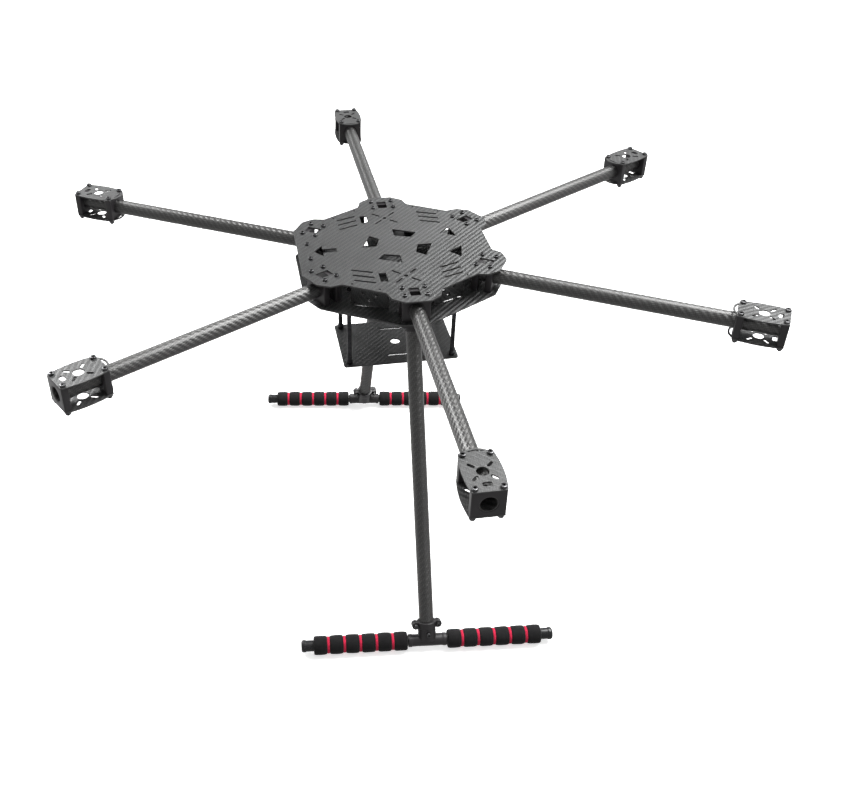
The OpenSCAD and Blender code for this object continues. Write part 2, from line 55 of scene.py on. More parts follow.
import json
import math
from contextlib import contextmanager

import bmesh
import bpy
from bpy.props import FloatProperty, FloatVectorProperty, PointerProperty
from mathutils import Matrix, Vector, noise

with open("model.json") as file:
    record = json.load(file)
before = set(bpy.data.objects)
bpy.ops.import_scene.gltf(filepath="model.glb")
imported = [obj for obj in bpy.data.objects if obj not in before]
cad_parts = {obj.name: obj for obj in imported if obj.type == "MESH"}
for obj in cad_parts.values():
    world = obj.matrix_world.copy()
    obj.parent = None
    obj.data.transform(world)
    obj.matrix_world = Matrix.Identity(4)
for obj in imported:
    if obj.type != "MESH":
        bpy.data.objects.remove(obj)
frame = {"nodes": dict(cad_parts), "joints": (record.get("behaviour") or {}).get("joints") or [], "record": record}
CAD_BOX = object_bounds()
JOINTS = {j["name"]: j for j in frame["joints"]}
BODY_OF = {n: b for b, nodes in frame["record"]["behaviour"]["bodies"].items() for n in nodes}
ARMS = range(1, 7)
SIDES = ("port", "starboard")
PANELS = ("nose_port", "tail_port", "tail_starboard", "nose_starboard")
UPRIGHT = Matrix.Identity(4)
ROUND = 64
FINE = 24

# Sizes of the real frame, in metres
TUBE_WALL = 0.001
TUBE_FIT = 0.00005
HOLE_R = 0.0016
HEAD_H = 0.0026
NUT_H = 0.004
TIP_H = 0.0012
FLANGE_T = 0.004
SLEEVE_WALL = 0.0023

# The camera: where it stands, its azimuth, elevation and roll in degrees, and its lens
CAMERA_SPOT = (0.21439, 1.10898, 1.03551)
CAMERA_ANGLES = (172.61, 36.63, -0.81)
CAMERA_LENS = {"lens": 43.81, "sensor_width": 36, "shift_x": 0.1002, "shift_y": 0.0015,
               "clip_start": 0.05, "clip_end": 60}
# Each light: where it stands, what it faces, and its sides
OVERHEAD_PLACE = ((-1.25, -0.4, 2.5), (-0.65, -0.1, 0.3), (1.8, 1.6))
BACK_PLACE = ((1.2, -1.5, 1.8), (0.2, 0, 0.4), (0.7, 0.7))
FLOOR_R = 12
WALL_H = 9


# ---- Sizes and colours ----


class CarbonFinish(bpy.types.PropertyGroup):
    """Weave and colours of the carbon plates and tubes"""

    tow_width: FloatProperty(
        name="Tow width", description="Width of one bundle of fibres in the twill",
        default=0.002, min=0.001, max=0.004, precision=4, unit="LENGTH",
    )
    plate_chamfer: FloatProperty(
        name="Plate chamfer", description="Chamfer along the plates' rims",
        default=0.0002, min=0.00005, max=0.0005, precision=5, unit="LENGTH",
    )
    plate_colour: FloatVectorProperty(
        name="Plate colour", description="Colour of the plates' fibres",
        subtype="COLOR", size=3, default=(0.137, 0.139, 0.139), min=0, max=1,
    )
    motor_plate_colour: FloatVectorProperty(
        name="Motor plate colour", description="Colour of the motor plates' fibres",
        subtype="COLOR", size=3, default=(0.113, 0.114, 0.114), min=0, max=1,
    )
    tube_colour: FloatVectorProperty(
        name="Tube colour", description="Colour of the tubes' fibres",
        subtype="COLOR", size=3, default=(0.150, 0.149, 0.147), min=0, max=1,
    )
    edge_colour: FloatVectorProperty(
        name="Edge colour", description="Colour of the plates' milled edges",
        subtype="COLOR", size=3, default=(0.060, 0.060, 0.060), min=0, max=1,
    )


class FittingFinish(bpy.types.PropertyGroup):
    """Colours of the moulded fittings and of the screws"""

    plastic_colour: FloatVectorProperty(
        name="Plastic colour", description="Colour of the clamps, sockets and T pieces",
        subtype="COLOR", size=3, default=(0.027, 0.025, 0.027), min=0, max=1,
    )
    screw_colour: FloatVectorProperty(
        name="Screw colour", description="Colour of the blackened screws and nuts",
        subtype="COLOR", size=3, default=(0.11, 0.11, 0.113), min=0, max=1,
    )
    post_colour: FloatVectorProperty(
        name="Post colour", description="Colour of the anodised posts",
        subtype="COLOR", size=3, default=(0.045, 0.045, 0.048), min=0, max=1,
    )
    cap_colour: FloatVectorProperty(
        name="Cap colour", description="Colour of the rubber end caps",
        subtype="COLOR", size=3, default=(0.014, 0.014, 0.015), min=0, max=1,
    )


class SkidFinish(bpy.types.PropertyGroup):
    """Shape and colours of the foam on the skids"""

    shoulder: FloatProperty(
        name="Shoulder radius", description="Rounding of each foam block's ends",
        default=0.0017, min=0.0005, max=0.004, precision=4, unit="LENGTH",
    )
    foam_colour: FloatVectorProperty(
        name="Foam colour", description="Colour of the foam blocks",
        subtype="COLOR", size=3, default=(0.011, 0.0105, 0.011), min=0, max=1,
    )
    ring_colour: FloatVectorProperty(
        name="Ring colour", description="Colour of the rings between the blocks",
        subtype="COLOR", size=3, default=(0.60, 0.018, 0.062), min=0, max=1,
    )


class StudioSetup(bpy.types.PropertyGroup):
    """Brightness of the studio"""

    surround: FloatProperty(
        name="Surround", description="Brightness of the room around the frame",
        default=0.55, min=0, max=5,
    )
    floor_glow: FloatProperty(
        name="Floor glow", description="Brightness of the lit floor itself",
        default=0.62, min=0, max=5,
    )
    overhead: FloatProperty(
        name="Overhead light", description="Power of the softbox above the tail",
        default=125, min=0, max=2000, unit="POWER",
    )
    back_light: FloatProperty(
        name="Back light", description="Power of the softbox behind the starboard nose",
        default=36, min=0, max=2000, unit="POWER",
    )


def look(name):
    return getattr(bpy.context.scene, "multirotor_" + name)


# ---- Places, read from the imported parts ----


def place_at(origin, x_axis, z_axis):
    z = Vector(z_axis).normalized()
    y = z.cross(Vector(x_axis)).normalized()
    place = Matrix((y.cross(z), y, z)).transposed().to_4x4()
    place.translation = Vector(origin)
    return place


def arm_place(arm):
    """Motor centre on the tube's middle line, X outwards."""
    joint = JOINTS[f"mount_level_{arm}"]
    return place_at(joint["pos_m"], joint["axis"], (0, 0, 1))


def leg_place(side):
    """Skid's middle line below the leg, Z up along the leg."""
    joint = JOINTS[side + "_skid_swivel"]
    return place_at(joint["pos_m"], (1, 0, 0), joint["axis"])


def skid_place(side):
    """Skid's middle line below the leg, X along the skid."""
    points = [v.co for v in frame["nodes"][side + "_skid_tube"].data.vertices]
    halves = [[p for p in points if (p.x > 0) == ahead] for ahead in (True, False)]
    nose, tail = (sum(half, Vector()) / len(half) for half in halves)
    return place_at(JOINTS[side + "_skid_swivel"]["pos_m"], nose - tail, (0, 0, 1))


def solid_boxes(node, place=UPRIGHT):
    """Lowest and highest corner of each separate solid of a CAD node, in the axes of a place."""
    mesh = bmesh.new()
    mesh.from_mesh(frame["nodes"][node].data)
    bmesh.ops.remove_doubles(mesh, verts=mesh.verts, dist=1e-6)
    mesh.transform(place.inverted())
    left, boxes = set(mesh.verts), []
    while left:
        edge = [left.pop()]
        group = list(edge)
        while edge:
            for link in edge.pop().link_edges:
                for v in link.verts:
                    if v in left:
                        left.discard(v)
                        edge.append(v)
                        group.append(v)
        low = Vector([min(v.co[k] for v in group) for k in range(3)])
        high = Vector([max(v.co[k] for v in group) for k in range(3)])
        boxes.append((low, high))
    mesh.free()
    return sorted(boxes, key=lambda b: tuple(round(c, 6) for c in b[0]))


def middle(box):
    return (box[0] + box[1]) / 2


def spread(box):
    return box[1] - box[0]


# ---- Modelling ----


def deselect():
    active = bpy.context.view_layer.objects.active
    if active and active.mode != "OBJECT":
        bpy.ops.object.mode_set(mode="OBJECT")
    bpy.ops.object.select_all(action="DESELECT")


def activate(piece):
    deselect()
    piece.select_set(True)
    bpy.context.view_layer.objects.active = piece


def named(name):
    """Name the primitive that was just added and settle its place into its mesh."""
    piece = bpy.context.object
    piece.name = piece.data.name = name
    bpy.ops.object.transform_apply(location=True, rotation=True, scale=True)
    return piece


@contextmanager
def editing(piece, mode="FACE"):
    activate(piece)
    bpy.ops.object.mode_set(mode="EDIT")
    bpy.ops.mesh.select_mode(type=mode)
    bpy.ops.mesh.select_all(action="DESELECT")
    yield
    bpy.ops.object.mode_set(mode="OBJECT")


def pick(piece, kind, test):
    """Select the faces or edges that pass a test, in edit mode."""
    bpy.ops.mesh.select_all(action="DESELECT")
    mesh = bmesh.from_edit_mesh(piece.data)
    for item in getattr(mesh, kind):
        if test(item):
            item.select_set(True)
    mesh.select_flush_mode()
    bmesh.update_edit_mesh(piece.data)


def modify(piece, kind, **settings):
    activate(piece)
    modifier = piece.modifiers.new(kind.title(), kind)
    for key, value in settings.items():
        setattr(modifier, key, value)
    bpy.ops.object.modifier_apply(modifier=modifier.name)


def carve(piece, cutter, keep=False):
    """Cut a cutter's shape out of a piece."""
    modify(piece, "BOOLEAN", operation="DIFFERENCE", solver="EXACT", object=cutter)
    if not keep:
        bpy.data.objects.remove(cutter)


def smooth(piece, angle=35):
    activate(piece)
    bpy.ops.object.shade_smooth_by_angle(angle=math.radians(angle))


def soften(piece, width, angle=40):
    """Round the edges that are sharper than an angle, and keep the flat faces flat."""
    activate(piece)
    bpy.ops.object.shade_smooth()
    modify(
        piece, "BEVEL", width=width, segments=2, limit_method="ANGLE",
        angle_limit=math.radians(angle), use_clamp_overlap=False, harden_normals=True,
    )


def rod(name, radius, low, high, steps=ROUND, axis="Z"):
    """Solid cylinder along an axis through the origin, from one height to another."""
    deselect()
    spot = [0, 0, 0]
    spot["XYZ".index(axis)] = (low + high) / 2
    turn = {"X": (0, math.pi / 2, 0), "Y": (math.pi / 2, 0, 0), "Z": (0, 0, 0)}[axis]
    bpy.ops.mesh.primitive_cylinder_add(
        vertices=steps, radius=radius, depth=abs(high - low), location=spot, rotation=turn
    )
    return named(name)


def block(name, low, high):
    deselect()
    low, high = Vector(low), Vector(high)
    bpy.ops.mesh.primitive_cube_add(size=1, location=(low + high) / 2, scale=high - low)
    return named(name)


def lathe(name, profile, ring=False, steps=ROUND):
    """Turned piece about Z from (radius, height) pairs; a ring's profile closes on itself."""
    deselect()
    radius, height = profile[0]
    bpy.ops.mesh.primitive_circle_add(vertices=steps, radius=radius, location=(0, 0, height))
    piece = named(name)
    path = profile + profile[:1] if ring else profile
    with editing(piece, "EDGE"):
        bpy.ops.mesh.select_all(action="SELECT")
        for (r0, z0), (r1, z1) in zip(path, path[1:]):
            bpy.ops.mesh.extrude_region_move(TRANSFORM_OT_translate={"value": (0, 0, z1 - z0)})
            bpy.ops.transform.resize(value=(r1 / r0, r1 / r0, 1), center_override=(0, 0, z1))
        if ring:
            bpy.ops.mesh.select_all(action="SELECT")
            bpy.ops.mesh.remove_doubles(threshold=1e-6)
        else:
            for end in (profile[0][1], profile[-1][1]):
                pick(piece, "edges", lambda e: e.is_boundary and abs(e.verts[0].co.z - end) < 1e-7)
                bpy.ops.mesh.edge_face_add()
        bpy.ops.mesh.select_all(action="SELECT")
        bpy.ops.mesh.normals_make_consistent(inside=False)
    return piece


def rounded(corner_in, corner, corner_out, radius, steps=3):
    """Points that round a corner of a profile."""
    a, p, b = Vector(corner_in), Vector(corner), Vector(corner_out)
    u, v = (a - p).normalized(), (b - p).normalized()
    half = math.acos(max(-1.0, min(1.0, u.dot(v)))) / 2
    centre = p + (u + v).normalized() * radius / math.sin(half)
    start, end = p + u * radius / math.tan(half) - centre, p + v * radius / math.tan(half) - centre
    turn = math.atan2(start.x * end.y - start.y * end.x, start.dot(end))
    points = []
    for k in range(steps + 1):
        a = turn * k / steps
        points.append((
            centre.x + start.x * math.cos(a) - start.y * math.sin(a),
            centre.y + start.x * math.sin(a) + start.y * math.cos(a),
        ))
    return points


def rounded_profile(corners, radii, ring=False, steps=3):
    """Profile with its corners rounded; radius 0 leaves a corner as it is."""
    profile, n = [], len(corners)
    for k, (corner, radius) in enumerate(zip(corners, radii)):
        inner = ring or 0 < k < n - 1
        if radius and inner:
            profile += rounded(corners[k - 1], corner, corners[(k + 1) % n], radius, steps)
        else:
            profile.append(tuple(corner))
    return profile


def tube(name, radius, wall, length, chamfer=0.0002):
    """Open tube along Z from the origin."""
    inner = radius - wall
    corners = [(inner, 0), (radius, 0), (radius, length), (inner, length)]
    return lathe(name, rounded_profile(corners, [chamfer] * 4, True, 1), ring=True)


def copied(piece, name, place=UPRIGHT):
    """Copy of a piece with its own mesh, moved by a place."""
    twin = bpy.data.objects.new(name, piece.data.copy())
    bpy.context.collection.objects.link(twin)
    twin.data.transform(place)
    return twin


def shifted(piece, *offset):
    """Move a piece's mesh."""
    piece.data.transform(Matrix.Translation(offset))
    return piece


def drop(*pieces):
    for piece in pieces:
        bpy.data.objects.remove(piece)


def joined(name, pieces):
    activate(pieces[0])
    for piece in pieces[1:]:
        piece.select_set(True)
    if len(pieces) > 1:
        bpy.ops.object.join()
    pieces[0].name = pieces[0].data.name = name
    return pieces[0]


def cut_from(node, chamfer):
    """Copy of a CAD node with its triangles merged to whole faces and its rims chamfered."""
    piece = bpy.data.objects.new(node + "_blank", frame["nodes"][node].data.copy())
    bpy.context.collection.objects.link(piece)
    piece.data.materials.clear()
    activate(piece)
    bpy.ops.mesh.customdata_custom_splitnormals_clear()
    with editing(piece):
        bpy.ops.mesh.select_all(action="SELECT")
        bpy.ops.mesh.remove_doubles(threshold=1e-6)
        bpy.ops.mesh.dissolve_limited(angle_limit=math.radians(0.5))
    soften(piece, chamfer)
    return piece


def lay_weave(piece, place=UPRIGHT):
    """UV map in metres along X and Y of a place."""
    lay = piece.data.uv_layers.new(name="weave")
    to_place = place.inverted()
    for loop in piece.data.loops:
        point = to_place @ piece.data.vertices[loop.vertex_index].co
        lay.data[loop.index].uv = point.xy


def wrap_weave(piece, radius):
    """UV map in metres along Z and round it, with whole repeats of the twill round the tube."""
    lay = piece.data.uv_layers.new(name="weave")
    repeat = 4 * look("carbon").tow_width
    girth = max(1, round(2 * math.pi * radius / repeat)) * repeat
    for face in piece.data.polygons:
        facing = math.atan2(face.center.y, face.center.x)
        for k in face.loop_indices:
            point = piece.data.vertices[piece.data.loops[k].vertex_index].co
            off = math.atan2(point.y, point.x) - facing
            off = (off + math.pi) % (2 * math.pi) - math.pi
            lay.data[k].uv = (point.z, (facing + off) / (2 * math.pi) * girth)


def coat(piece, *materials):
    piece.data.materials.clear()
    for material in materials:
        piece.data.materials.append(material)


def is_upright(edge, length):
    return abs(edge.verts[0].co.z - edge.verts[1].co.z) > length


def mark_edges(piece, flat_axis):
    """Give the second material to the faces that don't face along an axis."""
    axis = Vector(flat_axis)
    for face in piece.data.polygons:
        face.material_index = 0 if abs(face.normal.dot(axis)) > 0.95 else 1


def hand_over(piece, node, slot, *finishes):
    """Let a finished piece stand for its CAD node."""
    if finishes:
        coat(piece, *(finish_named(finish) for finish in finishes))
    piece.name = piece.data.name = node + "_finished"
    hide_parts(node)
    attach(piece, BODY_OF[node])


# ---- Materials ----


def wire(tree, node, inputs):
    """Set a node's inputs; an input is a value or another node's output."""
    for socket, value in inputs.items():
        if isinstance(value, bpy.types.NodeSocket):
            tree.links.new(value, node.inputs[socket])
        else:
            node.inputs[socket].default_value = value


def shader_node(tree, kind, inputs=None, **settings):
    made = tree.nodes.new("ShaderNode" + kind)
    for key, value in settings.items():
        setattr(made, key, value)
    wire(tree, made, inputs or {})
    return made


def maths(tree, operation, a, b=0.0):
    return shader_node(tree, "Math", {0: a, 1: b}, operation=operation).outputs[0]


def mixed(tree, factor, a, b):
    """Number between a and b."""
    return shader_node(tree, "Mix", {0: factor, 2: a, 3: b}, data_type="FLOAT").outputs[0]


def mixed_vector(tree, factor, a, b):
    return shader_node(tree, "Mix", {0: factor, 4: a, 5: b}, data_type="VECTOR").outputs[1]


def mixed_colour(tree, factor, a, b):
    return shader_node(tree, "Mix", {0: factor, 6: a, 7: b}, data_type="RGBA").outputs[2]


def tinted(tree, colour, tone):
    """Colour times a tone that changes over the surface."""
    inputs = {0: tuple(colour), "Scale": tone}
    return shader_node(tree, "VectorMath", inputs, operation="SCALE").outputs[0]


def ranged(tree, value, low, high, to_low, to_high):
    inputs = {0: value, 1: low, 2: high, 3: to_low, 4: to_high}
    return shader_node(tree, "MapRange", inputs).outputs[0]


def shade(colour, factor):
    return (*(c * factor for c in colour), 1.0)


def new_material(name):
    material = bpy.data.materials.new(name)
    material.use_nodes = True
    tree = material.node_tree
    return material, tree, tree.nodes["Principled BSDF"]


def speckle(tree, scale, detail=2.0):
    """Noise on Object coordinates, scale in features per metre."""
    place = shader_node(tree, "TexCoord").outputs["Object"]
    inputs = {"Vector": place, "Scale": scale, "Detail": detail}
    return shader_node(tree, "TexNoise", inputs).outputs[0]


def bumped(tree, height, distance, strength=1.0, normal=None):
    inputs = {"Height": height, "Distance": distance, "Strength": strength}
    if normal:
        inputs["Normal"] = normal
    return shader_node(tree, "Bump", inputs).outputs[0]


def twill_group():
    """Two over, two under twill: which tow is on top, its crown, and its fibres."""
    name = "Twill weave"
    if name in bpy.data.node_groups:
        return bpy.data.node_groups[name]
    tree = bpy.data.node_groups.new(name, "ShaderNodeTree")
    tree.interface.new_socket("Cloth", in_out="INPUT", socket_type="NodeSocketVector")
    tree.interface.new_socket("Tows per metre", in_out="INPUT", socket_type="NodeSocketFloat")
    for output in ("Warp", "Crown", "Fibres"):
        tree.interface.new_socket(output, in_out="OUTPUT", socket_type="NodeSocketFloat")
    given = tree.nodes.new("NodeGroupInput")
    result = tree.nodes.new("NodeGroupOutput")
    tows = shader_node(
        tree, "VectorMath", {0: given.outputs[0], "Scale": given.outputs[1]}, operation="SCALE"
    ).outputs[0]
    axes = shader_node(tree, "SeparateXYZ", {0: tows})
    u, v = axes.outputs[0], axes.outputs[1]
    across_u, across_v = maths(tree, "FRACT", u), maths(tree, "FRACT", v)
    step = maths(
        tree, "FLOORED_MODULO",
        maths(tree, "SUBTRACT", maths(tree, "FLOOR", u), maths(tree, "FLOOR", v)), 4.0,
    )
    warp = maths(tree, "LESS_THAN", step, 1.5)
    # Place along a float, from 0 to 1, and across its tow
    warp_run = maths(tree, "ADD", step, across_u)
    weft_run = maths(tree, "ADD", maths(tree, "SUBTRACT", 3.0, step), across_v)
    run = maths(tree, "MULTIPLY", mixed(tree, warp, weft_run, warp_run), math.pi / 2)
    side = maths(tree, "MULTIPLY", mixed(tree, warp, across_u, across_v), math.pi)
    arch = maths(tree, "SINE", run)
    crown = maths(tree, "MULTIPLY", maths(tree, "POWER", maths(tree, "SINE", side), 0.6),
                  ranged(tree, arch, 0.0, 1.0, 0.55, 1.0))
    stretch = mixed_vector(tree, warp, (11.0, 0.22, 1.0), (0.22, 11.0, 1.0))
    threads = shader_node(
        tree, "VectorMath", {0: tows, 1: stretch}, operation="MULTIPLY"
    ).outputs[0]
    fibres = shader_node(
        tree, "TexNoise", {"Vector": threads, "Scale": 1.0, "Detail": 1.0}
    ).outputs[0]
    for socket, value in zip(result.inputs, (warp, crown, fibres)):
        tree.links.new(value, socket)
    return tree


def carbon(name, colour, rough, coat_weight, coat_rough, weft_painted_shade, metallic, stretch=0.9):
    """Clear-coated twill on the piece's own weave map; warp and weft shine along their fibres, and painted shade
    darkens the creases between tows and the weft tows.
    """
    material, tree, shader = new_material(name)
    cloth = shader_node(tree, "UVMap", uv_map="weave").outputs[0]
    twill = tree.nodes.new("ShaderNodeGroup")
    twill.node_tree = twill_group()
    wire(tree, twill, {0: cloth, 1: 1 / look("carbon").tow_width})
    warp, crown, fibres = twill.outputs
    cloud = speckle(tree, 14.0, 3.0)
    tone = maths(tree, "MULTIPLY", ranged(tree, fibres, 0.25, 0.75, 0.72, 1.22),
                 ranged(tree, cloud, 0.3, 0.7, 0.9, 1.1))
    # Painted shade: darker where a tow's crown sinks, at its edges and where it dips under the crossing tow
    tone = maths(tree, "MULTIPLY", tone, ranged(tree, crown, 0.0, 1.0, 0.55, 1.05))
    # Painted shade: the weft tows are darker than the warp though both are the same fibre, standing in for the
    # reflection the warp tows catch
    tone = maths(tree, "MULTIPLY", tone, mixed(tree, warp, weft_painted_shade, 1.0))
    # Light spreads across the fibres, which run along the map's U in the warp
    along = shader_node(tree, "Tangent", direction_type="UV_MAP", uv_map="weave").outputs[0]
    facing = shader_node(tree, "NewGeometry").outputs["Normal"]
    over = shader_node(
        tree, "VectorMath", {0: facing, 1: along}, operation="CROSS_PRODUCT"
    ).outputs[0]
    fine = bumped(tree, fibres, 0.00003, 0.5)
    wire(tree, shader, {
        "Base Color": tinted(tree, colour, tone),
        "Roughness": ranged(tree, cloud, 0.3, 0.7, rough - 0.04, rough + 0.05),
        "Tangent": mixed_vector(tree, warp, along, over),
        "Normal": bumped(tree, crown, 0.00012, 1.0, fine),
        "Metallic": metallic,
        "Anisotropic": stretch,
        "Coat Weight": coat_weight,
        "Coat Roughness": coat_rough,
    })
    return material


def milled_edge():
    """Cut edge of the laminate, with its plies showing as fine lines."""
    material, tree, shader = new_material("carbon milled edge")
    place = shader_node(tree, "TexCoord").outputs["Object"]
    plies = shader_node(
        tree, "TexWave", {"Vector": place, "Scale": 620.0, "Distortion": 1.2, "Detail": 1.0},
        wave_type="BANDS", bands_direction="Z",
    ).outputs[1]
    dust = speckle(tree, 900.0)
    tone = maths(tree, "MULTIPLY", ranged(tree, plies, 0, 1, 0.75, 1.25),
                 ranged(tree, dust, 0.3, 0.7, 0.85, 1.15))
    wire(tree, shader, {
        "Base Color": tinted(tree, look("carbon").edge_colour, tone),
        "Normal": bumped(tree, plies, 0.00004, 0.6),
        "Roughness": 0.5,
    })
    return material


def moulded(name, colour, rough, grain):
    """Black moulded surface: fine grain, rubbed patches and a little change of tone."""
    material, tree, shader = new_material(name)
    fine, broad = speckle(tree, 2600.0, 3.0), speckle(tree, 60.0, 3.0)
    tint = mixed_colour(tree, ranged(tree, broad, 0.3, 0.7, 0, 1), shade(colour, 0.82),
                        shade(colour, 1.2))
    rub = maths(tree, "ADD", ranged(tree, broad, 0.3, 0.7, rough - 0.06, rough + 0.06),
                ranged(tree, fine, 0.3, 0.7, -0.04, 0.04))
    wire(tree, shader, {
        "Base Color": tint, "Roughness": rub, "Normal": bumped(tree, fine, grain, 0.6),
    })
    return material


def blackened(name, colour, rough):
    """Black oxide or anodised metal with faint turning marks and rubbed spots."""
    material, tree, shader = new_material(name)
    fine, broad = speckle(tree, 1500.0, 2.0), speckle(tree, 240.0, 3.0)
    tint = mixed_colour(tree, ranged(tree, broad, 0.35, 0.7, 0, 1), shade(colour, 0.75),
                        shade(colour, 1.5))
    wire(tree, shader, {
        "Base Color": tint,
        "Roughness": ranged(tree, broad, 0.3, 0.7, rough - 0.08, rough + 0.08),
        "Normal": bumped(tree, fine, 0.00002, 0.5),
        "Metallic": 1.0,
    })
    return material


def foam(name, colour, sheen):
    """Closed-cell foam: matt, with small pores, painted shade in them, and a soft sheen."""
    material, tree, shader = new_material(name)
    place = shader_node(tree, "TexCoord").outputs["Object"]
    pores = shader_node(
        tree, "TexVoronoi", {"Vector": place, "Scale": 1700.0, "Randomness": 1.0}
    ).outputs[0]
    broad = speckle(tree, 130.0, 3.0)
    # Painted shade: darker towards each pore's middle, where the bump sinks; the broad noise changes the tone at
    # random
    tone = maths(tree, "MULTIPLY", ranged(tree, pores, 0.0, 0.6, 0.65, 1.15),
                 ranged(tree, broad, 0.3, 0.7, 0.85, 1.15))
    wire(tree, shader, {
        "Base Color": tinted(tree, colour, tone),
        "Normal": bumped(tree, pores, 0.0002, 0.7),
        "Roughness": 0.93,
        "Specular IOR Level": 0.25,
        "Sheen Weight": sheen,
        "Sheen Roughness": 0.5,
    })
    return material


def finish_named(name):
    """A finish by name, made the first time that it is asked for."""
    weave, fitting, skid = look("carbon"), look("fitting"), look("skid")
    makers = {
        "carbon plate": lambda: carbon(
            name, weave.plate_colour, rough=0.46, coat_weight=0.15, coat_rough=0.25,
            weft_painted_shade=0.85, metallic=0.85,
        ),
        "carbon tube": lambda: carbon(
            name, weave.tube_colour, rough=0.44, coat_weight=0.24, coat_rough=0.27,
            weft_painted_shade=0.85, metallic=0.8,
        ),
        "carbon motor plate": lambda: carbon(
            name, weave.motor_plate_colour, rough=0.45, coat_weight=0.20, coat_rough=0.25,
            weft_painted_shade=0.92, metallic=0.55, stretch=0.6,
        ),
        "carbon milled edge": milled_edge,
        "black nylon": lambda: moulded(name, fitting.plastic_colour, rough=0.40, grain=0.00003),
        "black rubber": lambda: moulded(name, fitting.cap_colour, rough=0.28, grain=0.00001),
        "black oxide steel": lambda: blackened(name, fitting.screw_colour, rough=0.27),
        "black anodised": lambda: blackened(name, fitting.post_colour, rough=0.36),
        "black foam": lambda: foam(name, skid.foam_colour, sheen=0.08),
        "red foam": lambda: foam(name, skid.ring_colour, sheen=0.15),
    }
    return bpy.data.materials.get(name) or makers[name]()


# ---- Shared shapes ----


def screw_head(radius, height):
    """Cap head seated at the origin, with a hexagon socket."""
    socket_r, socket_floor = radius * 0.53, height * 0.45
    corners = [(radius, 0), (radius, height), (radius * 0.2, height)]
    head = lathe("head", rounded_profile(corners, [0, 0.0005, 0]), steps=32)
    carve(head, rod("socket", socket_r, socket_floor, height * 1.5, steps=6))
    smooth(head)
    return head


def lock_nut(across, height):
    """Lock nut hanging below the origin: a hexagon with a rounded collar for its insert."""
    hexagon = height * 0.68
    nut = rod("nut", across / 2 / math.cos(math.pi / 6), -hexagon, 0, steps=6)
    soften(nut, 0.00035, angle=25)
    root_r, collar_r, tip_r = across * 0.49, across * 0.46, across * 0.25
    corners = [(root_r, -hexagon + 0.0002), (collar_r, -height), (tip_r, -height)]
    collar = lathe("collar", rounded_profile(corners, [0, 0.0008, 0], steps=4), steps=32)
    smooth(collar)
    return joined("nut", [nut, collar])


def socket_screw(head, low, radius):
    """Copy of a head at the origin, with a shank down to low."""
    tip, sunk = min(0.0005, radius * 0.3), 0.0005
    shank = lathe("shank", [(radius - tip, low), (radius, low + tip), (radius, sunk)], steps=20)
    smooth(shank)
    return joined("screw", [copied(head, "screw"), shank])


def screw_set(node, place, nutted, flipped=lambda box: False):
    """All screws of a node along Z of a place; the nutted ones end in a lock nut."""
    boxes = solid_boxes(node, place)
    radius = min(spread(b).x for b in boxes) / 2
    shank_r = radius * 0.545
    head, nut = screw_head(radius, HEAD_H), lock_nut(2 * radius, NUT_H)
    screws = []
    for box in boxes:
        centre, length = middle(box), spread(box).z - HEAD_H
        screw = socket_screw(head, -length, shank_r)
        if nutted(box):
            below = shifted(copied(nut, "nut"), 0, 0, NUT_H + TIP_H - length)
            screw = joined("screw", [screw, below])
        if flipped(box):
            seat = Matrix.Translation((centre.x, centre.y, box[0].z + HEAD_H))
            seat = seat @ Matrix.Rotation(math.pi, 4, "X")
        else:
            seat = Matrix.Translation((centre.x, centre.y, box[1].z - HEAD_H))
        screw.data.transform(place @ seat)
        screws.append(screw)
    drop(head, nut)
    hand_over(joined(node, screws), node, "black_screws", "black oxide steel")


def post_set(node, profile):
    """Turned posts of a node; the profile is made for a post's outer radius and height."""
    posts = []
    for box in solid_boxes(node):
        post = lathe("post", profile(spread(box).x / 2, spread(box).z), ring=True)
        posts.append(shifted(post, middle(box).x, middle(box).y, box[0].z))
    piece = joined(node, posts)
    smooth(piece)
    hand_over(piece, node, "black_posts", "black anodised")


def tube_clamp(size):
    """Block clamp round an arm tube along X, centred on the tube's middle line."""
    bore_r = spread(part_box("arm_tube_2")).x / 2 + TUBE_FIT
    screw_y = max(abs(middle(b).y) for b in solid_boxes("mount_screws_2", arm_place(2)))
    clamp = block("clamp", size / -2, size / 2)
    with editing(clamp, "EDGE"):
        pick(clamp, "edges", lambda e: is_upright(e, size.z / 2))
        bpy.ops.mesh.bevel(offset=0.0012, segments=4, affect="EDGES")
    carve(clamp, rod("bore", bore_r, -size.x, size.x, axis="X"))
    for y in (-screw_y, screw_y):
        carve(clamp, shifted(rod("hole", HOLE_R, -size.z, size.z, steps=FINE), 0, y, 0))
    soften(clamp, 0.0003, angle=50)
    return clamp


def clamp_set(node, places, clamp):
    piece = joined(node, [copied(clamp, node, place) for place in places])
    hand_over(piece, node, "clamp_plastic", "black nylon")


def carbon_sheet(node, flat_axis, place=UPRIGHT, finish="carbon plate"):
    """Plate or panel: chamfered copy of its node, its twill laid along a place."""
    piece = cut_from(node, look("carbon").plate_chamfer)
    lay_weave(piece, place)
    coat(piece, finish_named(finish), finish_named("carbon milled edge"))
    mark_edges(piece, flat_axis)
    hand_over(piece, node, "carbon_plate")


def carbon_tube(node, place):
    """Tube of a node along Z of a place."""
    box = solid_boxes(node, place)[0]
    radius = spread(box).x / 2
    piece = tube(node, radius, TUBE_WALL, spread(box).z)
    wrap_weave(piece, radius)
    smooth(piece)
    piece.data.transform(place @ Matrix.Translation((0, 0, box[0].z)))
    hand_over(piece, node, "carbon_tube", "carbon tube")
    return box


def rib_free(pieces, voxel, cutters):
    """Fuse rough shapes into one moulding with soft inner corners, then cut its bores."""
    body = joined("moulding", pieces)
    modify(body, "REMESH", mode="VOXEL", voxel_size=voxel, use_smooth_shade=True)
    modify(body, "SMOOTH", factor=0.5, iterations=3)
    for cutter in cutters:
        carve(body, cutter)
    smooth(body, 40)
    return body


# ---- Operators ----


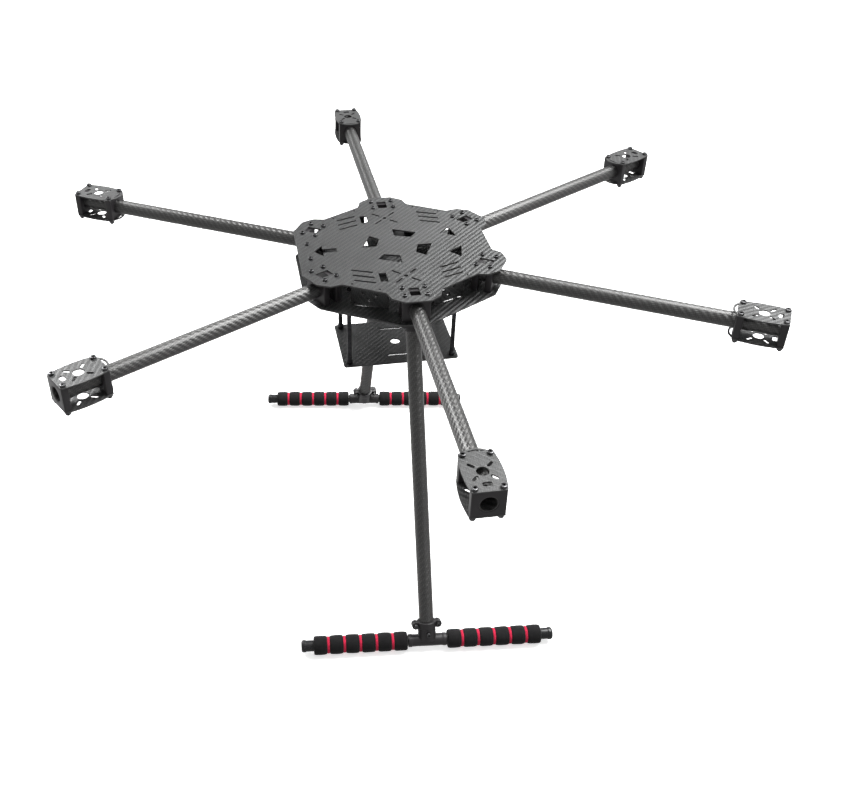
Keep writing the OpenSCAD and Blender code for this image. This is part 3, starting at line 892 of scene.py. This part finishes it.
class MULTIROTOR_OT_hub_plates(bpy.types.Operator):
    """Chamfer the two hub plates and lay their twill fore and aft"""

    bl_idname = "multirotor.hub_plates"
    bl_label = "Hub Plates"

    def execute(self, context):
        for node in ("hub_top_plate", "hub_bottom_plate"):
            carbon_sheet(node, (0, 0, 1))
        return {"FINISHED"}


class MULTIROTOR_OT_side_panels(bpy.types.Operator):
    """Chamfer the four upright panels between the arms"""

    bl_idname = "multirotor.side_panels"
    bl_label = "Side Panels"

    def execute(self, context):
        for name in PANELS:
            node = "side_panel_" + name
            centre = middle(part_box(node))
            outwards = Vector((centre.x, centre.y, 0)).normalized()
            carbon_sheet(node, outwards, place_at(centre, (0, 0, 1), outwards))
        return {"FINISHED"}


class MULTIROTOR_OT_hub_fittings(bpy.types.Operator):
    """Make the hub's tube clamps, its screws and the nose standoffs"""

    bl_idname = "multirotor.hub_fittings"
    bl_label = "Hub Fittings"

    def execute(self, context):
        for node in ("hub_inner_clamps", "hub_outer_clamps"):
            boxes = solid_boxes(node, arm_place(2))
            mine = min(boxes, key=lambda b: abs(middle(b).y) + abs(middle(b).x))
            clamp = tube_clamp(spread(mine))
            offset = Matrix.Translation((middle(mine).x, 0, 0))
            clamp_set(node, [arm_place(arm) @ offset for arm in ARMS], clamp)
            drop(clamp)
        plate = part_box("hub_bottom_plate")
        # Through screws are longer than the hub's gap; short ones hold the standoffs
        through = 0.03
        screw_set(
            "hub_screws", UPRIGHT, lambda b: spread(b).z > through,
            lambda b: spread(b).z < through and b[0].z < plate[0].z,
        )
        post_set("nose_standoffs", self.standoff)
        return {"FINISHED"}

    def standoff(self, radius, height):
        corners = [(HOLE_R, 0), (radius, 0), (radius, height), (HOLE_R, height)]
        return rounded_profile(corners, [0, 0.0004, 0.0004, 0], True, 2)


class MULTIROTOR_OT_tray(bpy.types.Operator):
    """Make the battery tray, its four posts and their screws"""

    bl_idname = "multirotor.tray"
    bl_label = "Battery Tray"

    def execute(self, context):
        carbon_sheet("tray_plate", (0, 0, 1))
        post_set("tray_posts", self.post)
        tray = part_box("tray_plate")
        screw_set("tray_screws", UPRIGHT, lambda b: False, lambda b: b[0].z < tray[0].z)
        return {"FINISHED"}

    def post(self, collar, height):
        """Thin post with a wide collar at its foot"""
        radius, foot = 0.00275, 0.005
        corners = [(HOLE_R, 0), (collar, 0), (collar, foot), (radius, foot), (radius, height),
                   (HOLE_R, height)]
        return rounded_profile(corners, [0, 0.0004, 0.0005, 0.0004, 0.0003, 0], True, 3)


class MULTIROTOR_OT_arm_tubes(bpy.types.Operator):
    """Make the six arm tubes"""

    bl_idname = "multirotor.arm_tubes"
    bl_label = "Arm Tubes"

    def execute(self, context):
        for arm in ARMS:
            outwards = arm_place(arm)
            place = place_at(outwards.translation, (0, 0, -1), outwards.col[0].xyz)
            carbon_tube(f"arm_tube_{arm}", place)
        return {"FINISHED"}


class MULTIROTOR_OT_motor_mounts(bpy.types.Operator):
    """Make the plates, clamps and screws of the six motor mounts"""

    bl_idname = "multirotor.motor_mounts"
    bl_label = "Motor Mounts"

    def execute(self, context):
        boxes = solid_boxes("mount_clamps_2", arm_place(2))
        clamp = tube_clamp(spread(boxes[0]))
        offsets = [Matrix.Translation((middle(b).x, 0, 0)) for b in boxes]
        for arm in ARMS:
            place = arm_place(arm)
            for plate in ("top", "bottom"):
                node = f"mount_{plate}_plate_{arm}"
                carbon_sheet(node, (0, 0, 1), place, "carbon motor plate")
            clamp_set(f"mount_clamps_{arm}", [place @ offset for offset in offsets], clamp)
            screw_set(f"mount_screws_{arm}", place, lambda b: True)
        drop(clamp)
        return {"FINISHED"}


class MULTIROTOR_OT_legs(bpy.types.Operator):
    """Make the leg sockets and the leg tubes"""

    bl_idname = "multirotor.legs"
    bl_label = "Legs"

    def execute(self, context):
        for side in SIDES:
            place = leg_place(side)
            box = carbon_tube(side + "_leg_tube", place)
            self.socket(side, place, spread(box).x / 2, box[1].z)
        return {"FINISHED"}

    def socket(self, side, place, leg_radius, leg_end):
        """Flange under the hub with a splayed sleeve round the leg's end"""
        node = side + "_leg_socket"
        low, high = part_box(node)
        flange_low = high.z - FLANGE_T
        flange = block("flange", (low.x, low.y, flange_low), high)
        with editing(flange, "EDGE"):
            pick(flange, "edges", lambda e: is_upright(e, 0.003))
            bpy.ops.mesh.bevel(offset=0.003, segments=4, affect="EDGES")
        sleeve = rod("sleeve", leg_radius + SLEEVE_WALL, leg_end - 0.0124, leg_end + 0.012)
        sleeve.data.transform(place)
        top = block("top", (low.x - 0.01, low.y - 0.02, high.z), high + Vector((0.01, 0.02, 0.05)))
        carve(sleeve, top)
        bore = rod("bore", leg_radius + TUBE_FIT, 0, leg_end + 0.0003)
        bore.data.transform(place)
        cutters = [bore]
        # The clamp screws of this side's middle arm reach through the flange to their nuts
        near_x, near_y, nut_room_r, past = 0.02, 0.09, 0.0034, 0.02
        sign = 1 if side == "port" else -1
        for box in solid_boxes("hub_screws"):
            centre = middle(box)
            if abs(centre.x) < near_x and centre.y * sign > near_y:
                hole = rod("hole", HOLE_R, high.z - past, high.z + past, steps=FINE)
                nut_room = rod("nut room", nut_room_r, high.z - past, flange_low, steps=32)
                cutters += [shifted(c, centre.x, centre.y, 0) for c in (hole, nut_room)]
        piece = rib_free([flange, sleeve], 0.00045, cutters)
        hand_over(piece, node, "clamp_plastic", "black nylon")


class MULTIROTOR_OT_tees(bpy.types.Operator):
    """Make the T pieces that hold the skids, with their collars and screws"""

    bl_idname = "multirotor.tees"
    bl_label = "T Pieces"

    def execute(self, context):
        for side in SIDES:
            self.tee(side)
            self.screws(side)
        return {"FINISHED"}

    def tee(self, side):
        node = side + "_tee"
        leg, skid = leg_place(side), skid_place(side)
        tube_box = solid_boxes(side + "_leg_tube", leg)[0]
        leg_r, seat = spread(tube_box).x / 2, tube_box[0].z
        skid_r = spread(solid_boxes(side + "_skid_tube", skid)[0]).y / 2
        height, reach = solid_boxes(node, leg)[0][1].z, solid_boxes(node, skid)[0][1].x
        screws = [middle(b) for b in solid_boxes(side + "_tee_screws", leg)]

        # Upright sleeve, its collar, and an ear with a web for each clamp screw
        sleeve_r, collar_l = leg_r + SLEEVE_WALL, 0.0085
        ear_r, ear_t, web_h = 0.00475, 0.009, 0.0064
        collar_r, collar_low = sleeve_r + 0.0006, height - collar_l
        rough = [rod("sleeve", sleeve_r, 0.002, height)]
        rough.append(lathe("collar", rounded_profile(
            [(0.004, collar_low), (collar_r, collar_low), (collar_r, height), (0.004, height)],
            [0, 0.0006, 0.0008, 0])))
        for x, y, z in screws:
            if z > height / 2:
                rough.append(shifted(rod("ear", ear_r, -ear_t / 2, ear_t / 2, axis="Y"), x, 0, z))
                rough.append(block("web", (min(x, 0), -ear_t / 2, z - web_h / 2),
                                   (max(x, 0), ear_t / 2, z + web_h / 2)))
        for shape in rough:
            shape.data.transform(leg)

        # Cross sleeve along the skid, with a rim at each end
        rim_r, rim_l = skid_r + 0.00225, 0.0045
        bars = [rod("bar", rim_r - 0.0005, -reach, reach, axis="X")]
        for end in (-1, 1):
            inner, outer = end * (reach - rim_l), end * reach
            bars.append(rod("rim", rim_r, min(inner, outer), max(inner, outer), axis="X"))
        for shape in bars:
            shape.data.transform(skid)

        # Bores, the slit that the clamp screws close, and the stop screw's hole
        slit_t, slit_l, past = 0.001, 0.0105, 0.01
        stop = next(spot for spot in screws if spot.z < height / 2)
        hole = rod("hole", HOLE_R, 0, math.copysign(0.02, stop.y), steps=FINE, axis="Y")
        cutters = [
            rod("leg bore", leg_r + TUBE_FIT, seat - 0.0003, height + past),
            block("slit", (-sleeve_r * 2, -slit_t / 2, height - slit_l),
                  (sleeve_r * 2, slit_t / 2, height + past)),
            shifted(hole, 0, 0, stop.z),
        ]
        for cutter in cutters:
            cutter.data.transform(leg)
        bore = rod("skid bore", skid_r + TUBE_FIT, -reach * 1.2, reach * 1.2, axis="X")
        bore.data.transform(skid)
        piece = rib_free(rough + bars, 0.0004, cutters + [bore])
        hand_over(piece, node, "clamp_plastic", "black nylon")

    def screws(self, side):
        """Heads on the outer side, shanks inwards; the short stop screw has no nut"""
        sign = 1 if side == "port" else -1
        over = leg_place(side) @ Matrix.Rotation(-sign * math.pi / 2, 4, "X")
        stop_l = 0.014
        screw_set(side + "_tee_screws", over, lambda b: spread(b).z > stop_l)


class MULTIROTOR_OT_skids(bpy.types.Operator):
    """Make the skid tubes, foam sleeves, red rings and end caps"""

    bl_idname = "multirotor.skids"
    bl_label = "Skids"

    def execute(self, context):
        for side in SIDES:
            skid = skid_place(side)
            along = skid @ Matrix.Rotation(math.pi / 2, 4, "Y")
            carbon_tube(side + "_skid_tube", along)
            rings = sorted(solid_boxes(side + "_foam_rings", along), key=lambda b: b[0].z)
            self.sleeves(side, along, rings)
            self.rings(side, along, rings)
            self.caps(side, along)
        return {"FINISHED"}

    def sleeves(self, side, along, rings):
        """Rounded foam blocks with a groove for each ring, a little uneven as cut foam is"""
        node = side + "_foam_sleeves"
        sleeves = []
        shoulder = look("skid").shoulder
        for box in solid_boxes(node, along):
            radius, start, end = spread(box).x / 2, box[0].z, box[1].z
            mine = [r for r in rings if start < middle(r).z < end]
            bore, floor_r = 0.0061, spread(mine[0]).x / 2 - 0.0011
            # Each block is crowned: full radius in the middle, easing to its rounded shoulders
            edge_r, ease_r, ease = radius - 0.0006, radius - 0.0001, 0.0036
            corners, radii = [(bore, start), (edge_r, start)], [0.0004, shoulder]
            edges = [z for r in mine for z in (r[0].z - 0.0001, r[1].z + 0.0001)] + [end]
            block_start = start
            for low, high in zip(edges[::2], edges[1::2] + [None]):
                corners += [(ease_r, block_start + ease), (radius, (block_start + low) / 2),
                            (ease_r, low - ease), (edge_r, low)]
                radii += [0, 0, 0, shoulder]
                if high is not None:
                    corners += [(floor_r, low), (floor_r, high), (edge_r, high)]
                    radii += [0.0002, 0.0002, shoulder]
                    block_start = high
            corners.append((bore, end))
            radii.append(0.0004)
            sleeve = lathe(node, rounded_profile(corners, radii, True, 5), ring=True, steps=72)
            with editing(sleeve, "EDGE"):
                pick(sleeve, "edges", lambda e: e.calc_length() > 0.004)
                bpy.ops.mesh.subdivide(number_cuts=3)
            # Dents inwards of up to about 0.4 mm, about 6 mm across; the bore stays true
            depth, frequency, bias = 0.00022, 160, 0.9
            for vertex in sleeve.data.vertices:
                reach = vertex.co.xy.length
                if reach > bore + 0.001:
                    dent = depth * (noise.noise(vertex.co * frequency) - bias)
                    vertex.co.xy *= 1 + dent / reach
            smooth(sleeve, 50)
            sleeve.data.transform(along)
            sleeves.append(sleeve)
        piece = joined(node, sleeves)
        hand_over(piece, node, "foam", "black foam")

    def rings(self, side, along, rings):
        node = side + "_foam_rings"
        made = []
        for box in rings:
            radius, low, high = spread(box).x / 2, box[0].z, box[1].z
            inner, shoulder, crown = radius - 0.0013, radius - 0.0002, (low + high) / 2
            corners = [(inner, low), (shoulder, low), (radius, crown), (shoulder, high),
                       (inner, high)]
            ring = lathe(node, rounded_profile(corners, [0, 0.0005, 0, 0.0005, 0], True, 3), True)
            smooth(ring, 50)
            ring.data.transform(along)
            made.append(ring)
        piece = joined(node, made)
        hand_over(piece, node, "foam_ring", "red foam")

    def caps(self, side, along):
        node = side + "_end_caps"
        made = []
        for box in solid_boxes(node, along):
            rim_r, length = spread(box).x / 2, spread(box).z
            body_r, bore, deep = rim_r - 0.0007, 0.00605, length - 0.003
            neck, axis_r = length - 0.0062, 0.0008
            corners = [(axis_r, deep), (bore, deep), (bore, 0), (body_r, 0), (body_r, neck),
                       (rim_r, neck + 0.0008), (rim_r, length), (axis_r, length)]
            radii = [0, 0, 0.0002, 0.0004, 0.0005, 0.0010, 0.0030, 0]
            cap = lathe(node, rounded_profile(corners, radii, steps=6), steps=48)
            smooth(cap, 40)
            if middle(box).z > 0:
                shifted(cap, 0, 0, box[0].z)
            else:
                flip = Matrix.Rotation(math.pi, 4, "X")
                cap.data.transform(Matrix.Translation((0, 0, box[1].z)) @ flip)
            cap.data.transform(along)
            made.append(cap)
        hand_over(joined(node, made), node, "cap_rubber", "black rubber")


class MULTIROTOR_OT_studio(bpy.types.Operator):
    """Set up the pale floor, the soft lights and the camera"""

    bl_idname = "multirotor.studio"
    bl_label = "Studio"

    def execute(self, context):
        studio = look("studio")
        self.floor(studio.floor_glow)
        self.room(context, studio.surround)
        self.light("overhead softbox", *OVERHEAD_PLACE, studio.overhead)
        self.light("back softbox", *BACK_PLACE, studio.back_light)
        self.camera(context)
        context.scene.view_settings.view_transform = "Standard"
        context.scene.view_settings.look = "None"
        return {"FINISHED"}

    def floor(self, glow):
        """White lit table and the wall round it, which leave the frame to the lights"""
        deselect()
        bpy.ops.mesh.primitive_circle_add(vertices=96, radius=FLOOR_R, fill_type="NGON")
        floor = named("studio_floor")
        with editing(floor, "EDGE"):
            pick(floor, "edges", lambda e: e.is_boundary)
            bpy.ops.mesh.extrude_region_move(TRANSFORM_OT_translate={"value": (0, 0, WALL_H)})
            bpy.ops.mesh.select_all(action="SELECT")
            bpy.ops.mesh.normals_make_consistent(inside=True)
        material, tree, shader = new_material("pale floor")
        wire(tree, shader, {
            "Base Color": (0.92, 0.92, 0.92, 1), "Roughness": 0.9, "Specular IOR Level": 0.1,
            "Emission Color": (1, 1, 1, 1), "Emission Strength": glow,
        })
        coat(floor, material)
        floor.visible_diffuse = floor.visible_glossy = floor.visible_shadow = False
        floor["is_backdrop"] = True

    def room(self, context, brightness):
        """Soft surround: brightest low behind the frame, dimmer on the camera's side"""
        world = bpy.data.worlds.new("studio room")
        world.use_nodes = True
        tree = world.node_tree
        way = shader_node(tree, "TexCoord").outputs["Generated"]
        axes = shader_node(tree, "SeparateXYZ", {0: way}).outputs
        front = ranged(tree, axes[1], -0.9, 0.9, 1.0, 0.7)
        below = ranged(tree, axes[1], -0.6, 0.4, 1.8, 0.95)
        height = ranged(tree, axes[2], -0.3, 0.25, below, 1.0)
        strength = maths(tree, "MULTIPLY", maths(tree, "MULTIPLY", front, height), brightness)
        wire(tree, tree.nodes["Background"], {"Color": (1, 1, 1, 1), "Strength": strength})
        context.scene.world = world

    def light(self, name, spot, target, size, power):
        data = bpy.data.lights.new(name, "AREA")
        data.shape, data.energy = "RECTANGLE", power
        data.size, data.size_y = size
        lamp = bpy.data.objects.new(name, data)
        bpy.context.collection.objects.link(lamp)
        lamp.location = spot
        lamp.rotation_euler = (Vector(target) - Vector(spot)).to_track_quat("-Z", "Y").to_euler()

    def camera(self, context):
        azimuth, elevation, roll = (math.radians(a) for a in CAMERA_ANGLES)
        back = Vector((math.sin(azimuth) * math.cos(elevation),
                       -math.cos(azimuth) * math.cos(elevation), math.sin(elevation)))
        right = (-back).cross(Vector((0, 0, 1))).normalized()
        up = back.cross(right)
        turned_right = right * math.cos(roll) + up * math.sin(roll)
        turned_up = up * math.cos(roll) - right * math.sin(roll)
        data = bpy.data.cameras.new("camera")
        for key, value in CAMERA_LENS.items():
            setattr(data, key, value)
        camera = bpy.data.objects.new("camera", data)
        bpy.context.collection.objects.link(camera)
        turn = Matrix((turned_right, turned_up, back)).transposed().to_4x4()
        camera.matrix_world = Matrix.Translation(CAMERA_SPOT) @ turn
        context.scene.camera = camera


class MULTIROTOR_PT_panel(bpy.types.Panel):
    """Sizes and steps of the multirotor frame"""

    bl_idname = "MULTIROTOR_PT_panel"
    bl_label = "Multirotor Frame"
    bl_space_type = "VIEW_3D"
    bl_region_type = "UI"
    bl_category = "Multirotor"

    def draw(self, context):
        for name, group in FINISHES.items():
            box = self.layout.box()
            for prop in group.__annotations__:
                box.prop(look(name), prop)
        for step in STEPS:
            self.layout.operator(step.bl_idname)


FINISHES = {
    "carbon": CarbonFinish,
    "fitting": FittingFinish,
    "skid": SkidFinish,
    "studio": StudioSetup,
}
STEPS = (
    MULTIROTOR_OT_hub_plates,
    MULTIROTOR_OT_side_panels,
    MULTIROTOR_OT_hub_fittings,
    MULTIROTOR_OT_tray,
    MULTIROTOR_OT_arm_tubes,
    MULTIROTOR_OT_motor_mounts,
    MULTIROTOR_OT_legs,
    MULTIROTOR_OT_tees,
    MULTIROTOR_OT_skids,
    MULTIROTOR_OT_studio,
)


def register():
    for cls in (*FINISHES.values(), *STEPS, MULTIROTOR_PT_panel):
        bpy.utils.register_class(cls)
    for name, group in FINISHES.items():
        setattr(bpy.types.Scene, "multirotor_" + name, PointerProperty(type=group))


def unregister():
    for name in FINISHES:
        delattr(bpy.types.Scene, "multirotor_" + name)
    for cls in (MULTIROTOR_PT_panel, *reversed(STEPS), *reversed(FINISHES.values())):
        bpy.utils.unregister_class(cls)


def main():
    register()
    for step in STEPS:
        group, name = step.bl_idname.split(".")
        getattr(getattr(bpy.ops, group), name)()
    boxes = {"cad": CAD_BOX, "visual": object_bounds()}
    {k: [list(corner) for corner in box] for k, box in boxes.items()}


if __name__ == "__main__":
    main()
